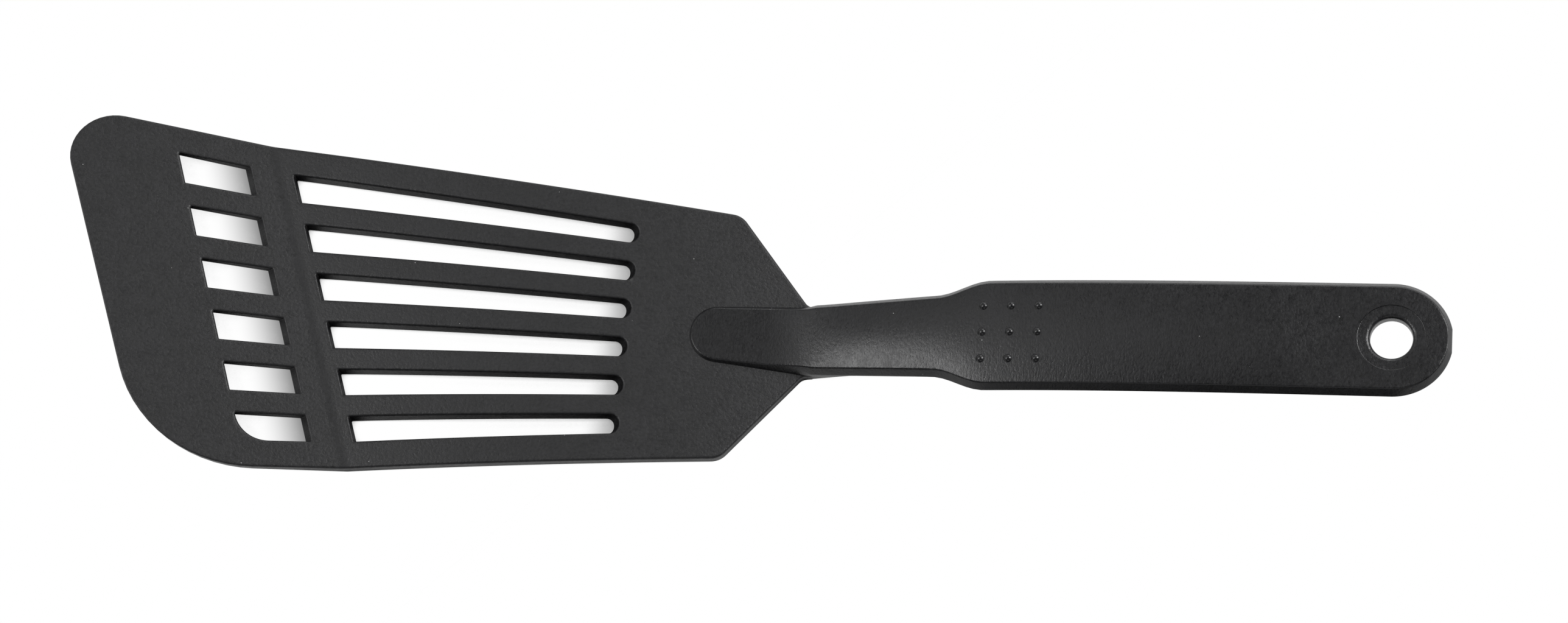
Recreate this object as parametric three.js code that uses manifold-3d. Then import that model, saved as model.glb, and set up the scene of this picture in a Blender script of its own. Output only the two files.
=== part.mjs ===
// A slotted turner: a flat slotted blade whose front is bent up along a skewed line, and a slim handle
// that lies on the blade as a tongue, rises as a neck and widens to a grip with a hanging hole.
// Millimetres, +Z up. X runs along the turner from the blade's front edge to the handle's tail, and the
// heel of the blade, where the neck leaves it, is at x = 0 until the finished group is centred.
import * as THREE from "three";
import { mergeVertices } from "three/addons/utils/BufferGeometryUtils.js";
import Module from "manifold-3d";

const wasm = await Module();
wasm.setup();

// Fits
const CLEARANCE = 0.3;

// Blade: a moulded plate, arched a little between its two resting lines
const BLADE_THICKNESS = 3;
const BEND_TO_HEEL = 117;
const ARCH_RISE = 2.1;
const BEND_SKEW = THREE.MathUtils.degToRad(19.5);
const BEND_LAND = 3;
const HEEL_LAND = 4;

// Lip: the front of the blade, bent up and thinned towards its edge
const LIP_LENGTH = 49;
const LIP_ANGLE = THREE.MathUtils.degToRad(10.9);
const LIP_EDGE_THICKNESS = 1.3;
const FRONT_SKEW = THREE.MathUtils.degToRad(21.2);
const FAR_CORNER_RADIUS = 10.4;
const NEAR_CORNER_RADIUS = 33;

// Heel: straight shoulders that narrow the blade to the neck
const SHOULDER_ANGLE = THREE.MathUtils.degToRad(50.6);
const SHOULDER_SET = 2.8;
const SHOULDER_RADIUS = 5;
const ROOT_RADIUS = 2.5;
const HEEL_TAIL = 1.9;
const HEEL_LIFT = 1.2;

// Slots: a fan of slots and ribs that widen towards the front, cut in two by the bend
const SLOTS_PER_SIDE = 3;
const SLOT_WIDTH = 5.05;
const SLOT_WIDENING = 0.0245;
const RIB_WIDTH = 5.05;
const RIB_WIDENING = 0.008;
const FAN_REFERENCE_X = -60;
const RIM_WIDTH = 6.6;
const SLOT_CORNER_RADIUS = 0.7;
const LONG_SLOT_GAP_TO_BEND = 3.7;
const LONG_SLOT_END_X = -39.7;
const FRONT_SLOT_GAP_TO_BEND = 6.7;
const FRONT_SLOT_LENGTH = 16.6;
const FRONT_SLOT_ROUND = 8.2;

// Tang: the tail of the blade, held inside the neck by two pegs
const TANG_LENGTH = 30;
const TANG_WIDTH = 9;
const TANG_THICKNESS = 1.6;
const TANG_END_RADIUS = 1.5;
const TANG_SETTLE = 3.8;
const PEG_COUNT = 2;
const PEG_RADIUS = 1.5;

// Handle: its side view
const HANDLE_THICKNESS = 4;
const TONGUE_TIP_THICKNESS = 0.15;
const NECK_RISE_X = 0.1;
const NECK_BLEND = 16;
const NECK_ANGLE = THREE.MathUtils.degToRad(17.8);
const NECK_END_X = 27;
const TAIL_ANGLE = THREE.MathUtils.degToRad(6.85);
const EASING_LENGTH = 38;
const ROOT_LENGTH = 9.8;

// Handle: its top view
const TONGUE_TIP_X = -25.2;
const TONGUE_TIP_RADIUS = 7;
const TONGUE_DRAFT = 0.44;
const NECK_ROOT_WIDTH = 17.3;
const NECK_TOP_WIDTH = 19.6;
const FLARE_START_X = 32.5;
const FLARE_LENGTH = 13;
const GRIP_WIDTH = 26.4;
const GRIP_LENGTH = 90.9;
const GATE_FLAT = 5.5;
const EDGE_CHAMFER = 1.3;
const EDGE_CHAMFER_HEIGHT = 1.65;
const CHAMFER_SHARE = 0.45;

// Hanging hole, dished on both faces
const HOLE_SETBACK = 0.5;
const HOLE_RADIUS = 4.75;
const HOLE_LIP = 0.75;
const LIP_SHARE = 0.8;
const DISH_WIDTH = 2.15;
const DISH_DEPTH = 0.7;

// Thumb dots: small domed studs in shallow sockets
const DOT_ROWS = 3;
const DOT_COLUMNS = 3;
const DOT_PITCH = 6.35;
const DOT_SETBACK = 11.6;
const DOT_RADIUS = 1.02;
const DOT_HEIGHT = 0.5;
const DOT_STEM = 1.1;

// How finely round shapes are cut into flats
const ARC_STEPS = 10;
const ARCH_STEPS = 14;
const HANDLE_STEPS = 8;
const ROUND_SIDES = 40;
const DOT_SIDES = 16;
const PEG_SIDES = 20;
const TANG_STEPS = 6;
const DOME_STEPS = 4;
const SMALL_ARC = 6;
const LARGE_ARC = 14;

// Margins by which a cutter passes the face that it cuts
const OVERSHOOT = 10;
const STEP_LENGTH = 0.1;
const EDGE_SHARE = 0.98;
const WELD_DISTANCE = 1e-5;
const PITCH_STEP = 0.5;

// Places along the turner that follow from the sizes above
const rootX = SHOULDER_SET / Math.tan(SHOULDER_ANGLE);
const heelEnd = rootX + HEEL_TAIL;
const heelRise = heelEnd - HEEL_LIFT;
const neckStart = heelEnd + CLEARANCE;
const rootEndX = heelEnd + ROOT_LENGTH;
const tangEnd = heelEnd + TANG_LENGTH;
const tangSettleX = heelEnd + TANG_SETTLE;
const gripStart = FLARE_START_X + FLARE_LENGTH;
const tailCentreX = gripStart + GRIP_LENGTH;
const flatStart = tailCentreX - GRIP_WIDTH / 2;
const gateAngle = Math.asin(GATE_FLAT / GRIP_WIDTH);
const tailX = tailCentreX + (GRIP_WIDTH / 2) * Math.cos(gateAngle);
const holeX = tailCentreX - HOLE_SETBACK;
const firstDotX = FLARE_START_X + DOT_SETBACK;

// Closed geometry to a solid that can be joined and cut
function solidOf(geometry) {
  const bare = geometry.clone();
  bare.deleteAttribute("normal");
  bare.deleteAttribute("uv");
  const merged = mergeVertices(bare, WELD_DISTANCE);
  const mesh = new wasm.Mesh({
    numProp: 3,
    vertProperties: Float32Array.from(merged.attributes.position.array),
    triVerts: Uint32Array.from(merged.index.array),
  });
  return new wasm.Manifold(mesh);
}

// A finished solid as a named mesh
function meshOf(name, solid, material) {
  const result = solid.getMesh();
  const geometry = new THREE.BufferGeometry();
  geometry.setAttribute("position", new THREE.BufferAttribute(Float32Array.from(result.vertProperties), 3));
  geometry.setIndex(new THREE.BufferAttribute(Uint32Array.from(result.triVerts), 1));
  geometry.computeVertexNormals();
  const mesh = new THREE.Mesh(geometry, material);
  mesh.name = name;
  return mesh;
}

// A box of stations along X and levels up Z, with every corner moved to place(station, side, level)
function lattice(stationCount, levelCount, place) {
  const geometry = new THREE.BoxGeometry(1, 1, 1, stationCount - 1, 1, levelCount - 1);
  const corner = geometry.attributes.position;
  for (let i = 0; i < corner.count; i += 1) {
    const station = Math.round((corner.getX(i) + 0.5) * (stationCount - 1));
    const side = Math.sign(corner.getY(i));
    const level = Math.round((corner.getZ(i) + 0.5) * (levelCount - 1));
    const point = place(station, side, level);
    corner.setXYZ(i, point.x, point.y, point.z);
  }
  return solidOf(geometry);
}

// A closed outline through corners given as [x, y, radius]. Each corner is rounded by an arc, which is
// made smaller where the edges beside it are too short for it
function roundedShape(corners, arcSteps) {
  const count = corners.length;
  const points = corners.map(([x, y]) => new THREE.Vector2(x, y));
  const around = points.map((here, i) => {
    const back = points[(i + count - 1) % count].clone().sub(here);
    const ahead = points[(i + 1) % count].clone().sub(here);
    const half = back.angleTo(ahead) / 2;
    return { back, ahead, half, tangent: corners[i][2] / Math.tan(half) };
  });
  const outline = [];
  around.forEach(({ back, ahead, half, tangent }, i) => {
    if (tangent === 0) {
      outline.push(points[i]);
      return;
    }
    const roomBack = back.length() / (tangent + around[(i + count - 1) % count].tangent);
    const roomAhead = ahead.length() / (tangent + around[(i + 1) % count].tangent);
    const reach = tangent * Math.min(1, EDGE_SHARE * roomBack, EDGE_SHARE * roomAhead);
    const radius = reach * Math.tan(half);
    const inward = back.clone().normalize().add(ahead.clone().normalize()).normalize();
    const centre = points[i].clone().addScaledVector(inward, radius / Math.sin(half));
    const from = points[i].clone().addScaledVector(back.clone().normalize(), reach).sub(centre).angle();
    const to = points[i].clone().addScaledVector(ahead.clone().normalize(), reach).sub(centre).angle();
    const arc = new THREE.EllipseCurve(centre.x, centre.y, radius, radius, from, to, back.cross(ahead) > 0);
    outline.push(...arc.getPoints(arcSteps));
  });
  return new THREE.Shape(outline);
}

// An upright prism on an outline, tall enough to pass the whole turner
function prism(shape) {
  const depth = handleTop(tailX) + 2 * OVERSHOOT;
  const geometry = new THREE.ExtrudeGeometry(shape, { depth, bevelEnabled: false });
  geometry.translate(0, 0, -OVERSHOOT);
  return solidOf(geometry);
}

// An upright round bar or hole at x, y
function uprightRound(radius, x, y) {
  const circle = new THREE.EllipseCurve(x, y, radius, radius, 0, 2 * Math.PI, false).getPoints(PEG_SIDES);
  return prism(new THREE.Shape(circle.slice(1)));
}

// Where two lines, each a point and a direction, cross
function crossing(pointA, directionA, pointB, directionB) {
  const reach = pointB.clone().sub(pointA).cross(directionB) / directionA.cross(directionB);
  return pointA.clone().addScaledVector(directionA, reach);
}

// The bend line and the front edge, as x at a distance y from the turner's middle
const bendX = (y) => -BEND_TO_HEEL - y * Math.tan(BEND_SKEW);
const frontX = (y) => -BEND_TO_HEEL - LIP_LENGTH - y * Math.tan(FRONT_SKEW);

// The fan: widths of a slot and a rib at x, and the edges of slot number n from the middle
const slotWidth = (x) => SLOT_WIDTH - SLOT_WIDENING * (x - FAN_REFERENCE_X);
const ribWidth = (x) => RIB_WIDTH - RIB_WIDENING * (x - FAN_REFERENCE_X);
const slotInner = (n, x) => (n + 0.5) * ribWidth(x) + n * slotWidth(x);
const slotOuter = (n, x) => slotInner(n, x) + slotWidth(x);
const bladeHalfWidth = (x) => slotOuter(SLOTS_PER_SIDE - 1, x) + RIM_WIDTH;

// Height of the blade's top face between the bend, share 0, and the heel, share 1
const archHeight = (share) => 4 * ARCH_RISE * share * (1 - share);

function bladeTop(x, y) {
  const share = THREE.MathUtils.clamp((x - bendX(y)) / -bendX(y), 0, 1);
  return BLADE_THICKNESS + archHeight(share);
}

// The tongue's level top, just above the blade at the tongue's tip
const tongueTop = bladeTop(TONGUE_TIP_X, 0) + CLEARANCE + TONGUE_TIP_THICKNESS;

// Top face of the handle in side view: level tongue, straight neck, then a slope that eases to the tail's
function handleTop(x) {
  const slope = Math.tan(NECK_ANGLE);
  const tailSlope = Math.tan(TAIL_ANGLE);
  const blendStart = NECK_RISE_X - NECK_BLEND / 2;
  const blendEnd = NECK_RISE_X + NECK_BLEND / 2;
  if (x < blendStart) {
    return tongueTop;
  }
  if (x < blendEnd) {
    return tongueTop + (slope * (x - blendStart) ** 2) / (2 * NECK_BLEND);
  }
  if (x < NECK_END_X) {
    return tongueTop + slope * (x - NECK_RISE_X);
  }
  const run = x - NECK_END_X;
  const eased = EASING_LENGTH * (1 - Math.exp(-run / EASING_LENGTH));
  return tongueTop + slope * (NECK_END_X - NECK_RISE_X) + tailSlope * run + (slope - tailSlope) * eased;
}

// Underside of the neck and grip: it leaves the floor at the heel and then keeps the handle's thickness
function handleUnderside(x) {
  const settled = (at) => handleTop(at) - HANDLE_THICKNESS;
  if (x < rootEndX) {
    return (settled(rootEndX) * (x - heelRise)) / (rootEndX - heelRise);
  }
  return settled(x);
}

// Slope of the handle's top face at x, for what stands square on it
function handlePitch(x) {
  return Math.atan2(handleTop(x + PITCH_STEP) - handleTop(x - PITCH_STEP), 2 * PITCH_STEP);
}

// Half width of the neck and grip at their widest line
function handleHalfWidth(x) {
  const root = NECK_ROOT_WIDTH / 2;
  const top = NECK_TOP_WIDTH / 2;
  if (x < FLARE_START_X) {
    return THREE.MathUtils.mapLinear(x, heelEnd, FLARE_START_X, root, top);
  }
  const turn = Math.min((x - FLARE_START_X) / FLARE_LENGTH, 1) * Math.PI;
  return top + ((GRIP_WIDTH / 2 - top) * (1 - Math.cos(turn))) / 2;
}

// Middle height of the tang, from the back of the plate to the middle of the neck
function tangMiddle(x) {
  const start = BLADE_THICKNESS - TANG_THICKNESS / 2;
  const inNeck = (at) => (handleTop(at) + handleUnderside(at)) / 2;
  if (x < tangSettleX) {
    return THREE.MathUtils.mapLinear(x, heelEnd, tangSettleX, start, inNeck(tangSettleX));
  }
  return inNeck(x);
}

// Half the width of the plate before it is trimmed to its outline
const plateReach = bladeHalfWidth(frontX(0)) + 2 * OVERSHOOT;

// The blade's plate and tang in side view, each station a line right across the blade
function bladeStations() {
  const stations = [];
  const add = (x, top, under) => stations.push({ x, top, under });
  const lipRise = Math.tan(LIP_ANGLE) * Math.cos(BEND_SKEW);
  const thinning = BLADE_THICKNESS - LIP_EDGE_THICKNESS;
  const addLip = (ahead) => {
    const top = BLADE_THICKNESS + ahead * lipRise;
    const thickness = BLADE_THICKNESS - thinning * Math.min(ahead / LIP_LENGTH, 1);
    add((y) => bendX(y) - ahead, top, top - thickness);
  };
  const lipAt = (y) => bendX(y) - frontX(y);
  addLip(Math.max(lipAt(-plateReach), lipAt(plateReach)) + OVERSHOOT);
  addLip(LIP_LENGTH);
  addLip(LIP_LENGTH / 2);
  const land = BEND_LAND / 2;
  add((y) => bendX(y) - land, BLADE_THICKNESS + land * lipRise, 0);
  add((y) => bendX(y), BLADE_THICKNESS, 0);
  const landShare = land / BEND_TO_HEEL;
  const heelShare = 1 - HEEL_LAND / BEND_TO_HEEL;
  const addArch = (share, under) => {
    add((y) => bendX(y) * (1 - share), BLADE_THICKNESS + archHeight(share), under);
  };
  addArch(landShare, 0);
  for (let i = 1; i < ARCH_STEPS; i += 1) {
    const share = THREE.MathUtils.lerp(landShare, heelShare, i / ARCH_STEPS);
    addArch(share, archHeight(share));
  }
  addArch(heelShare, 0);
  add(() => 0, BLADE_THICKNESS, 0);
  add(() => heelRise, BLADE_THICKNESS, 0);
  add(() => heelEnd, BLADE_THICKNESS, handleUnderside(heelEnd));
  for (const x of tangStations(heelEnd + STEP_LENGTH, tangEnd + OVERSHOOT)) {
    add(() => x, tangMiddle(x) + TANG_THICKNESS / 2, tangMiddle(x) - TANG_THICKNESS / 2);
  }
  return stations;
}

// Places along the tang: the two where its line bends, then even steps to its end
function tangStations(start, end) {
  const places = [start, tangSettleX, rootEndX];
  for (let i = 1; i <= TANG_STEPS; i += 1) {
    places.push(THREE.MathUtils.lerp(rootEndX, end, i / TANG_STEPS));
  }
  return places;
}

// The blade's outline from above, round from the near front corner
function bladeOutline() {
  const near = new THREE.Vector2(0, -bladeHalfWidth(0));
  const far = new THREE.Vector2(0, bladeHalfWidth(0));
  const nearAlong = new THREE.Vector2(1, bladeHalfWidth(0) - bladeHalfWidth(1));
  const farAlong = new THREE.Vector2(1, bladeHalfWidth(1) - bladeHalfWidth(0));
  const front = new THREE.Vector2(frontX(0), 0);
  const frontAlong = new THREE.Vector2(-Math.tan(FRONT_SKEW), 1);
  const rootHalf = NECK_ROOT_WIDTH / 2;
  const root = new THREE.Vector2(rootX, rootHalf);
  const shoulderAlong = new THREE.Vector2(-Math.cos(SHOULDER_ANGLE), Math.sin(SHOULDER_ANGLE));
  const nearFront = crossing(near, nearAlong, front, frontAlong);
  const farFront = crossing(far, farAlong, front, frontAlong);
  const farShoulder = crossing(far, farAlong, root, shoulderAlong);
  const tangHalf = TANG_WIDTH / 2;
  return roundedShape([
    [nearFront.x, nearFront.y, NEAR_CORNER_RADIUS],
    [farShoulder.x, -farShoulder.y, SHOULDER_RADIUS],
    [rootX, -rootHalf, ROOT_RADIUS],
    [heelEnd, -rootHalf, 0],
    [heelEnd, -tangHalf, 0],
    [tangEnd, -tangHalf, TANG_END_RADIUS],
    [tangEnd, tangHalf, TANG_END_RADIUS],
    [heelEnd, tangHalf, 0],
    [heelEnd, rootHalf, 0],
    [rootX, rootHalf, ROOT_RADIUS],
    [farShoulder.x, farShoulder.y, SHOULDER_RADIUS],
    [farFront.x, farFront.y, FAR_CORNER_RADIUS],
  ], LARGE_ARC);
}

// Where an edge of slot n, slotInner or slotOuter, crosses a line at a distance from the bend
function edgeCrossing(edge, n, side, gap) {
  const start = new THREE.Vector2(0, side * edge(n, 0));
  const along = new THREE.Vector2(1, side * (edge(n, 1) - edge(n, 0)));
  const bend = new THREE.Vector2(bendX(0) + gap, 0);
  const point = crossing(start, along, bend, new THREE.Vector2(-Math.tan(BEND_SKEW), 1));
  return [point.x, point.y];
}

// A long slot runs from the bend to a full round at a fixed x
function longSlotOutline(n, side) {
  const round = slotWidth(LONG_SLOT_END_X) / 2;
  const corners = [
    [...edgeCrossing(slotInner, n, side, LONG_SLOT_GAP_TO_BEND), SLOT_CORNER_RADIUS],
    [LONG_SLOT_END_X, side * slotInner(n, LONG_SLOT_END_X), round],
    [LONG_SLOT_END_X, side * slotOuter(n, LONG_SLOT_END_X), round],
    [...edgeCrossing(slotOuter, n, side, LONG_SLOT_GAP_TO_BEND), SLOT_CORNER_RADIUS],
  ];
  return roundedShape(side > 0 ? corners : corners.reverse(), SMALL_ARC);
}

// A front slot lies in the lip, with both ends along the bend. The one at the near rim has a large round
function frontSlotOutline(n, side) {
  const start = -FRONT_SLOT_GAP_TO_BEND - FRONT_SLOT_LENGTH;
  const atNearRim = side < 0 && n === SLOTS_PER_SIDE - 1;
  const corners = [
    [...edgeCrossing(slotInner, n, side, start), SLOT_CORNER_RADIUS],
    [...edgeCrossing(slotInner, n, side, -FRONT_SLOT_GAP_TO_BEND), SLOT_CORNER_RADIUS],
    [...edgeCrossing(slotOuter, n, side, -FRONT_SLOT_GAP_TO_BEND), SLOT_CORNER_RADIUS],
    [...edgeCrossing(slotOuter, n, side, start), atNearRim ? FRONT_SLOT_ROUND : SLOT_CORNER_RADIUS],
  ];
  return roundedShape(side > 0 ? corners : corners.reverse(), SMALL_ARC);
}

function makeBlade(material) {
  const stations = bladeStations();
  const plate = lattice(stations.length, 2, (station, side, level) => {
    const y = side * plateReach;
    const line = stations[station];
    return { x: line.x(y), y, z: level === 0 ? line.under : line.top };
  });
  let blade = plate.intersect(prism(bladeOutline()));
  for (const side of [-1, 1]) {
    for (let n = 0; n < SLOTS_PER_SIDE; n += 1) {
      blade = blade.subtract(prism(longSlotOutline(n, side)));
      blade = blade.subtract(prism(frontSlotOutline(n, side)));
    }
  }
  for (const x of pegPlaces()) {
    blade = blade.subtract(uprightRound(PEG_RADIUS + CLEARANCE, x, 0));
  }
  return meshOf("blade", blade, material);
}

function pegPlaces() {
  return Array.from({ length: PEG_COUNT }, (_, i) => heelEnd + (TANG_LENGTH * (i + 1)) / (PEG_COUNT + 1));
}

// The handle's outline from above, each station as x and half width for an edge drawn in by an inset
function handleStations() {
  const stations = [];
  const tipCentre = TONGUE_TIP_X + TONGUE_TIP_RADIUS;
  for (let i = 1; i <= ARC_STEPS; i += 1) {
    const turn = (i / ARC_STEPS) * (Math.PI / 2);
    stations.push((inset) => {
      const radius = TONGUE_TIP_RADIUS - inset;
      return { x: tipCentre - radius * Math.cos(turn), half: radius * Math.sin(turn) };
    });
  }
  const rootHalf = NECK_ROOT_WIDTH / 2;
  const tongueHalf = (x) => THREE.MathUtils.mapLinear(x, tipCentre, heelEnd, TONGUE_TIP_RADIUS, rootHalf);
  const along = (x, half) => stations.push((inset) => ({ x, half: half - inset }));
  for (let i = 1; i <= HANDLE_STEPS; i += 1) {
    const x = THREE.MathUtils.lerp(tipCentre, neckStart, i / HANDLE_STEPS);
    along(x, tongueHalf(x));
  }
  const tongueCount = stations.length;
  along(neckStart + STEP_LENGTH, handleHalfWidth(neckStart + STEP_LENGTH));
  for (let i = 1; i < HANDLE_STEPS; i += 1) {
    const x = THREE.MathUtils.lerp(neckStart, FLARE_START_X, i / HANDLE_STEPS);
    along(x, handleHalfWidth(x));
  }
  for (let i = 0; i <= HANDLE_STEPS; i += 1) {
    const x = FLARE_START_X + (FLARE_LENGTH * i) / HANDLE_STEPS;
    along(x, handleHalfWidth(x));
  }
  for (let i = 1; i <= HANDLE_STEPS; i += 1) {
    const x = THREE.MathUtils.lerp(gripStart, flatStart, i / HANDLE_STEPS);
    along(x, GRIP_WIDTH / 2);
  }
  for (let i = 0; i <= ARC_STEPS; i += 1) {
    const turn = THREE.MathUtils.lerp(Math.PI / 2, gateAngle, i / ARC_STEPS);
    stations.push((inset) => {
      const radius = GRIP_WIDTH / 2 - inset;
      return { x: tailCentreX + radius * Math.cos(turn), half: radius * Math.sin(turn) };
    });
  }
  return { stations, tongueCount };
}

// The tail of the handle is flat around the hanging hole
const flatPitch = handlePitch(flatStart);
const flatTop = (x) => handleTop(flatStart) + Math.tan(flatPitch) * (x - flatStart);
const handleFace = (x) => (x < flatStart ? handleTop(x) : flatTop(x));

// The space that the tang fills in the neck, grown by a clearance
function tangSpace(clearance) {
  const places = tangStations(heelEnd + STEP_LENGTH, tangEnd + clearance);
  const half = TANG_WIDTH / 2 + clearance;
  const rise = TANG_THICKNESS / 2 + clearance;
  return lattice(places.length, 2, (station, side, level) => {
    const x = places[station];
    return { x, y: side * half, z: tangMiddle(x) + (level === 0 ? -rise : rise) };
  });
}

// A turned cutter for the hanging hole and its dishes, square on the handle's face
function holeCutter() {
  const half = HANDLE_THICKNESS / 2;
  const floor = half - DISH_DEPTH;
  const throat = floor - Math.min(HOLE_LIP, LIP_SHARE * floor);
  const floorRadius = HOLE_RADIUS + HOLE_LIP;
  const dishRadius = floorRadius + DISH_WIDTH;
  const profile = [
    [0, -half - OVERSHOOT],
    [dishRadius, -half - OVERSHOOT],
    [dishRadius, -half],
    [floorRadius, -floor],
    [HOLE_RADIUS, -throat],
    [HOLE_RADIUS, throat],
    [floorRadius, floor],
    [dishRadius, half],
    [dishRadius, half + OVERSHOOT],
    [0, half + OVERSHOOT],
  ].map(([radius, height]) => new THREE.Vector2(radius, height));
  const geometry = new THREE.LatheGeometry(profile, ROUND_SIDES);
  geometry.rotateX(Math.PI / 2);
  geometry.rotateY(-flatPitch);
  geometry.translate(holeX, 0, handleFace(holeX) - half);
  return solidOf(geometry);
}

// Where each thumb dot stands: on the face, square to it
function dotPlaces() {
  const places = [];
  for (let row = 0; row < DOT_ROWS; row += 1) {
    for (let column = 0; column < DOT_COLUMNS; column += 1) {
      const x = firstDotX + column * DOT_PITCH;
      const y = ((DOT_ROWS - 1) / 2 - row) * DOT_PITCH;
      places.push({ row, column, x, y, z: handleFace(x), pitch: handlePitch(x) });
    }
  }
  return places;
}

// A turned stud or socket: a straight stem of the given depth under the face, with an optional dome above it
function turnedDot(place, radius, stem, top) {
  const profile = [new THREE.Vector2(0, -stem), new THREE.Vector2(radius, -stem), ...top];
  const geometry = new THREE.LatheGeometry(profile, DOT_SIDES);
  geometry.rotateX(Math.PI / 2);
  geometry.rotateY(-place.pitch);
  geometry.translate(place.x, place.y, place.z);
  return solidOf(geometry);
}

function domeProfile() {
  const points = [new THREE.Vector2(DOT_RADIUS, 0)];
  for (let i = 1; i < DOME_STEPS; i += 1) {
    const turn = (i / DOME_STEPS) * (Math.PI / 2);
    points.push(new THREE.Vector2(DOT_RADIUS * Math.cos(turn), DOT_HEIGHT * Math.sin(turn)));
  }
  points.push(new THREE.Vector2(0, DOT_HEIGHT));
  return points;
}

function makeHandle(material) {
  const { stations, tongueCount } = handleStations();
  const topLevel = 3;
  const body = lattice(stations.length, topLevel + 1, (station, side, level) => {
    if (station < tongueCount) {
      const foot = stations[station](0);
      const seat = bladeTop(foot.x, side * foot.half) + CLEARANCE;
      const height = handleFace(foot.x) - seat;
      const edge = stations[station]((TONGUE_DRAFT * height * level) / topLevel);
      return { x: edge.x, y: side * edge.half, z: seat + (height * level) / topLevel };
    }
    const atFace = level === 0 || level === topLevel;
    const edge = stations[station](atFace ? EDGE_CHAMFER : 0);
    const face = handleFace(edge.x);
    const under = handleUnderside(edge.x) + face - handleTop(edge.x);
    const chamfer = atFace ? 0 : Math.min(EDGE_CHAMFER_HEIGHT, CHAMFER_SHARE * (face - under));
    return { x: edge.x, y: side * edge.half, z: level < 2 ? under + chamfer : face - chamfer };
  });
  let pocket = tangSpace(CLEARANCE);
  for (const x of pegPlaces()) {
    pocket = pocket.subtract(uprightRound(PEG_RADIUS, x, 0));
  }
  let handle = body.subtract(pocket).subtract(holeCutter());
  for (const place of dotPlaces()) {
    const mouth = [new THREE.Vector2(DOT_RADIUS + CLEARANCE, DOT_STEM), new THREE.Vector2(0, DOT_STEM)];
    handle = handle.subtract(turnedDot(place, DOT_RADIUS + CLEARANCE, DOT_STEM + CLEARANCE, mouth));
  }
  return meshOf("handle", handle, material);
}

function makeDots(material) {
  const dome = domeProfile();
  return dotPlaces().map((place) => {
    const name = `thumb_dot_row${place.row + 1}_col${place.column + 1}`;
    return meshOf(name, turnedDot(place, DOT_RADIUS, DOT_STEM, dome), material);
  });
}

const nylon = new THREE.MeshStandardMaterial({ color: 0x2b2b2d, roughness: 0.62, metalness: 0 });
const grip = new THREE.MeshStandardMaterial({ color: 0x2d2d2f, roughness: 0.58, metalness: 0 });
const gloss = new THREE.MeshStandardMaterial({ color: 0x1b1b1d, roughness: 0.22, metalness: 0 });

const turner = new THREE.Group();
turner.add(makeBlade(nylon), makeHandle(grip), ...makeDots(gloss));

// The origin is at the middle of the turner's box, on the surface that it rests on
const box = new THREE.Box3().setFromObject(turner);
const middle = box.getCenter(new THREE.Vector3());
turner.position.set(-middle.x, -middle.y, -box.min.z);
turner.updateMatrixWorld(true);

export default turner;
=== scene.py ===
# A slotted nylon turner lying on a white table. It is built in the order in which it goes together: the
# blade, the handle that is moulded onto it, the thumb studs, and then the table, the lamps and the camera.
import math

import bmesh
import bpy
from mathutils import Matrix, Vector
from mathutils.geometry import intersect_line_line


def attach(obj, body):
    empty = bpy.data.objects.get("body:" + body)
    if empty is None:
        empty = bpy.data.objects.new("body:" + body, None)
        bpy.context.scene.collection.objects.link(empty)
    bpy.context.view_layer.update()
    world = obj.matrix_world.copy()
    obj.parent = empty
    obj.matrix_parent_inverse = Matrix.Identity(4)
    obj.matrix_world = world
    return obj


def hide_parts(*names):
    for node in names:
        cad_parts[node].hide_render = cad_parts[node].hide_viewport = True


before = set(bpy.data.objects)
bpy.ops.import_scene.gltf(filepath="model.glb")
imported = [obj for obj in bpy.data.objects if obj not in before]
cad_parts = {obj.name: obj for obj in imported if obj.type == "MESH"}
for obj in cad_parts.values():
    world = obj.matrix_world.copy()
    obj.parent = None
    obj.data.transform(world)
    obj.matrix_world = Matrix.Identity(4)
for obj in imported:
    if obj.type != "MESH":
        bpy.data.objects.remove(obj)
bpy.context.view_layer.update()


# Blade. A thin black nylon moulding: a slotted plate that is arched between its heel and a skewed bend, with
# a lip bent up in front of the bend. The mould leaves rounded edges and a fine grain, and the slots are
# narrower below than above, so that the plate comes off the pins that form them.
MM = 0.001
HEEL = Vector((14.556, -1.93, 0.0)) * MM
TO_FRAME = Matrix.Translation(HEEL) @ Matrix.Scale(MM, 4)
BLADE_THICKNESS = 3.0
BEND_TO_HEEL = 117.0
BEND_ANGLE = math.radians(19.5)
BEND_SLANT = math.tan(BEND_ANGLE)
BEND_SOFTNESS = 1.5
ARCH_RISE = 2.1
LIP_LENGTH = 49.0
LIP_RISE = math.tan(math.radians(10.9)) * math.cos(BEND_ANGLE)
LIP_EDGE_THICKNESS = 1.3
FRONT_SLANT = math.tan(math.radians(21.2))
NEAR_FRONT_CORNER = 33.0
FAR_FRONT_CORNER = 10.4
SHOULDER_ANGLE = math.radians(50.6)
SHOULDER_CORNER = 5.0
ROOT_X = 2.3
ROOT_CORNER = 2.5
NECK_ROOT_HALF = 8.65
HEEL_END = 4.6
HEEL_LIFT_X = 3.0
HEEL_LIFT_SLOPE = 0.48
SLOTS_PER_SIDE = 3
WIDTHS_AT_X = -60.0
SLOT_WIDTH = 5.05
SLOT_TAPER = 0.0245
RIB_WIDTH = 5.05
RIB_TAPER = 0.008
RIM_WIDTH = 6.6
LONG_SLOT_GAPS = (3.7, None)
LONG_SLOT_END_X = -39.7
LONG_SLOT_DRAFT = (0.36, 0.22, 1.3)
FRONT_SLOT_GAPS = (-23.3, -6.7)
FRONT_SLOT_DRAFT = (0.05, -0.6, 1.5)
NO_DRAFT = (0, 0, 0)
ROUND_END_SHARE = 0.97
SLOT_CORNER = 0.25
CUT_SLOT_CORNER = 8.2
SMALL_CORNER = 1.0
SMALL_CORNER_STEPS = 3
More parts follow.
